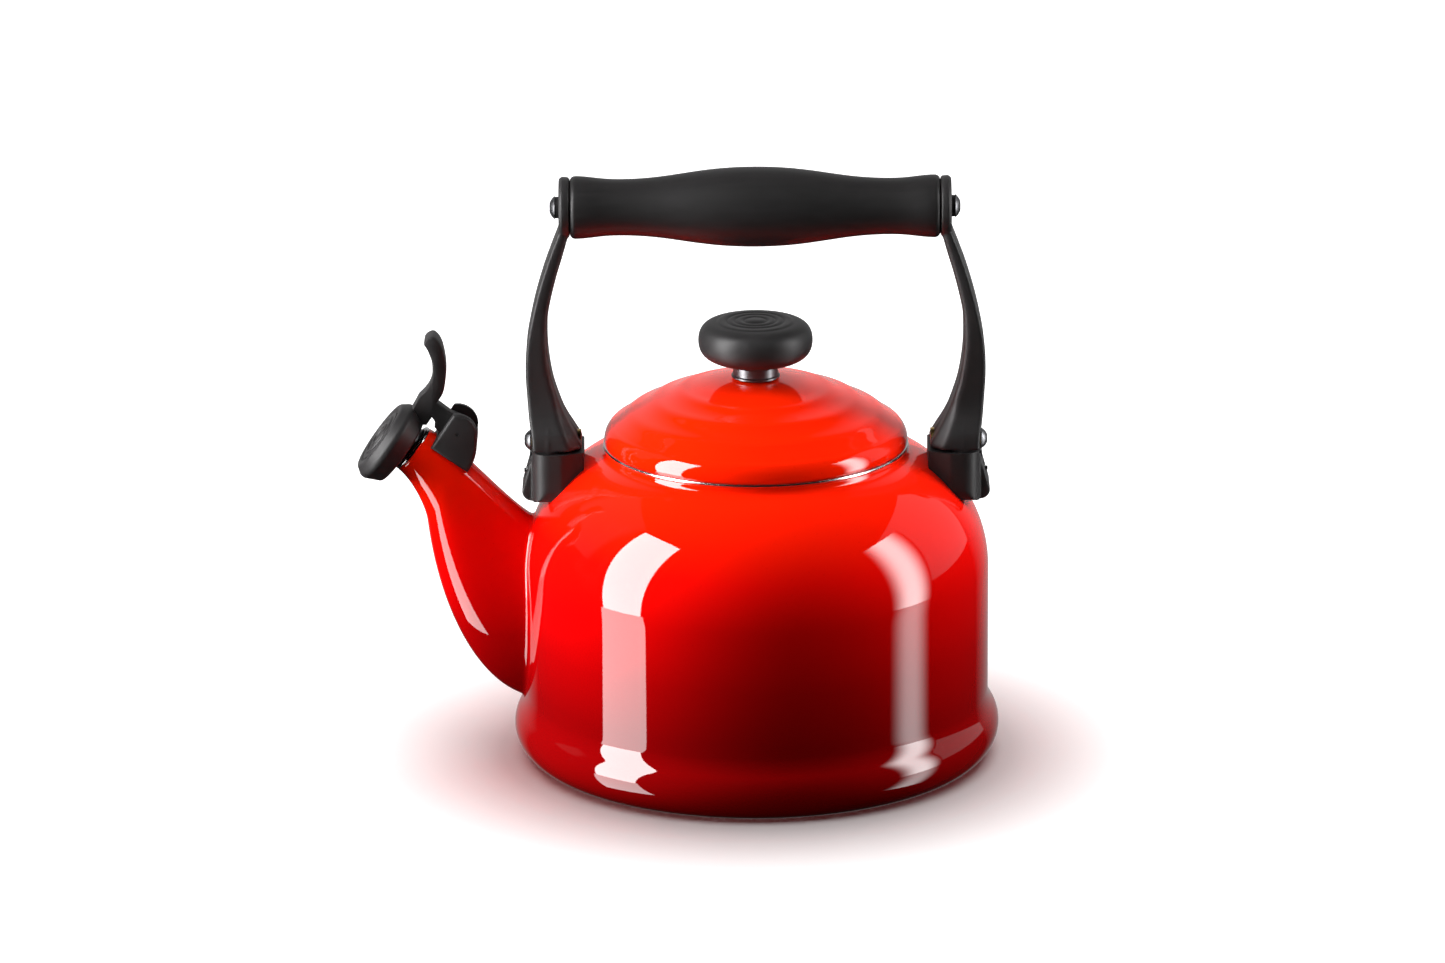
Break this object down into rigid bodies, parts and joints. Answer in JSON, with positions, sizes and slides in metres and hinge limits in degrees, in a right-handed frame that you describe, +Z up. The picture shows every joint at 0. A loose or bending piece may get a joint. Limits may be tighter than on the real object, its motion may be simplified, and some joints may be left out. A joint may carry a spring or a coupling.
{
  "type": "stovetop whistling kettle",
  "caption": "Stovetop kettle with a rounded enamelled body, domed lid, folding bar handle, curved spout and a hinged whistle cap with thumb lever.",
  "frame": {"origin": "centre of the base where it meets the hob, on the body's axis", "axes": "+Z up, the spout points to -X, the handle's grip lies along X, +Y is the far side"},
  "size_m": [0.2639, 0.2, 0.2479],
  "materials": {
    "enamel": "glossy vitreous enamel, orange red fading to dark red at the base",
    "phenolic": "matte charcoal heat-proof plastic",
    "stainless": "bright stainless steel",
    "dark_steel": "dark spring and structural steel",
    "brass": "turned brass"
  },
  "bodies": {
    "kettle": {"body_shell": "enamel", "base_plate": "enamel", "fill_rim": "stainless", "spout": "enamel", "spout_ring": "stainless", "lug_left": "dark_steel", "lug_right": "dark_steel", "foot_left": "phenolic", "foot_right": "phenolic", "foot_screws": "stainless", "detent_springs": "dark_steel", "pivot_screws": "stainless", "pivot_washers": "dark_steel", "whistle_bracket": "phenolic", "bracket_screw": "stainless", "hinge_pin": "stainless", "torsion_spring": "stainless"},
    "handle": {"grip": "phenolic", "arm_left": "phenolic", "arm_right": "phenolic", "grip_screws": "stainless", "grip_washers": "phenolic", "grip_inserts": "brass", "pivot_bushes": "brass"},
    "lid": {"lid_shell": "enamel", "lid_skirt": "enamel", "knob": "phenolic", "knob_ferrule": "dark_steel", "knob_insert": "brass", "knob_screw": "stainless", "knob_washer": "stainless"},
    "whistle_cap": {"cap_housing": "phenolic", "cap_badge": "phenolic", "whistle_cup": "stainless", "whistle_front_disc": "stainless", "whistle_rear_disc": "stainless"}
  },
  "joints": [
    {"name": "handle_fold", "type": "hinge", "parent": "kettle", "child": "handle", "pos_m": [0, 0, 0.133], "axis": [1, 0, 0], "range_deg": [-55, 55]},
    {"name": "lid_lift", "type": "slide", "parent": "kettle", "child": "lid", "axis": [0, 0, 1], "range_m": [0, 0.026]},
    {"name": "whistle_open", "type": "hinge", "parent": "kettle", "child": "whistle_cap", "pos_m": [-0.1222, 0, 0.1382], "axis": [0, 1, 0], "range_deg": [0, 45], "stiffness_Nm_per_rad": 0.02, "springref_deg": -57.3}
  ]
}
